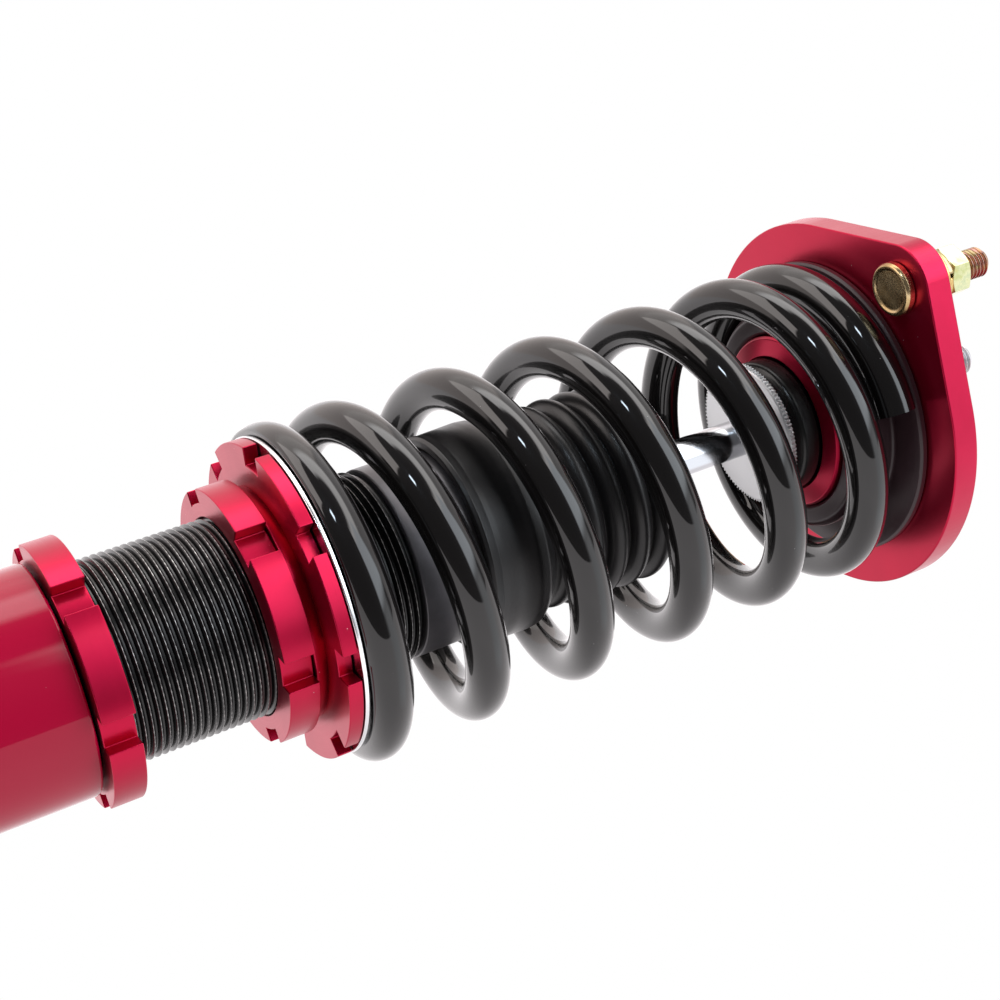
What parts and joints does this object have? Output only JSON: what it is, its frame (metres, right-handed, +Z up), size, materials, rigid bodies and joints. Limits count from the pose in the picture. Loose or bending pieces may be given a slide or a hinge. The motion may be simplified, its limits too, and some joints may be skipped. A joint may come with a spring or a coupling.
{
  "type": "coilover",
  "caption": "Threaded adjustable damper with a coil spring between a castellated perch and a two-stud top plate, and a bushed eye at its lower end.",
  "frame": {"origin": "centre of the top plate's upper face, on the damper axis", "axes": "+Z up along the damper axis towards the chassis, +X through the right-hand mounting stud, Y along the lower eye's bolt"},
  "size_m": [0.1366, 0.111, 0.437],
  "materials": {
    "red_anodised": "satin red anodised aluminium",
    "red_paint": "gloss red paint on steel",
    "black_thread": "black phosphated steel, semi-gloss",
    "spring_coat": "gloss black powder coat",
    "rubber": "matte black rubber",
    "bright_zinc": "bright zinc plate",
    "yellow_zinc": "yellow passivated zinc plate",
    "chrome": "polished hard chrome",
    "steel": "turned steel",
    "aluminium": "turned aluminium",
    "bronze": "sintered bronze",
    "urethane": "cast urethane"
  },
  "bodies": {
    "chassis_side": {"top_plate": "red_anodised", "stud_left": "yellow_zinc", "stud_washer_left": "yellow_zinc", "stud_spring_washer_left": "yellow_zinc", "stud_nut_left": "yellow_zinc", "stud_right": "yellow_zinc", "stud_washer_right": "yellow_zinc", "stud_spring_washer_right": "yellow_zinc", "stud_nut_right": "yellow_zinc", "bush_housing": "red_anodised", "spring_isolator": "rubber", "lower_bush": "rubber", "upper_bush": "rubber", "bush_sleeve": "steel", "lower_cup_washer": "bright_zinc", "upper_cup_washer": "bright_zinc", "rod_nut": "bright_zinc", "piston_rod": "chrome", "piston": "aluminium", "piston_band": "bronze", "rebound_stop": "rubber", "piston_nut": "steel", "coil_spring": "spring_coat"},
    "damper_body": {"threaded_body": "black_thread", "gland_nut": "black_thread", "rod_guide": "bronze", "rod_seal": "rubber", "rod_wiper": "rubber", "base_plug": "steel", "boot_cuff": "rubber", "boot_bellows": "rubber", "bump_stop": "urethane"},
    "gas_piston": {"floating_piston": "aluminium", "floating_piston_ring": "rubber"},
    "slip_washer": {"perch_washer": "bright_zinc"},
    "perch": {"spring_perch": "red_anodised", "perch_lock_ring": "red_anodised"},
    "bracket": {"lower_bracket": "red_paint", "eye_bush": "rubber", "eye_sleeve": "steel"},
    "lock_ring": {"lower_lock_ring": "red_anodised"}
  },
  "joints": [
    {"name": "damper_stroke", "type": "slide", "parent": "chassis_side", "child": "damper_body", "axis": [0, 0, 1], "range_m": [0, 0.062], "stiffness_N_per_m": 55000, "springref_m": -0.012, "deforming": ["coil_spring", "boot_bellows"]},
    {"name": "gas_piston_travel", "type": "slide", "parent": "damper_body", "child": "gas_piston", "axis": [0, 0, 1], "range_m": [-0.0036, 0]},
    {"name": "perch_travel", "type": "slide", "parent": "damper_body", "child": "slip_washer", "axis": [0, 0, 1], "range_m": [-0.015, 0]},
    {"name": "perch_turn", "type": "hinge", "parent": "slip_washer", "child": "perch", "pos_m": [0, 0, -0.19], "axis": [0, 0, 1], "range_deg": [-2700, 0]},
    {"name": "bracket_travel", "type": "slide", "parent": "damper_body", "child": "bracket", "axis": [0, 0, 1], "range_m": [-0.03, 0.02]},
    {"name": "lock_ring_turn", "type": "hinge", "parent": "bracket", "child": "lock_ring", "pos_m": [0, 0, -0.2412], "axis": [0, 0, 1], "range_deg": [-5400, 3600]}
  ],
  "couplings": [
    {"joint": "gas_piston_travel", "follows": "damper_stroke", "ratio": -0.0572},
    {"joint": "perch_travel", "follows": "perch_turn", "m_per_rad": 0.00031831},
    {"joint": "lock_ring_turn", "follows": "bracket_travel", "rad_per_m": 3141.6}
  ]
}
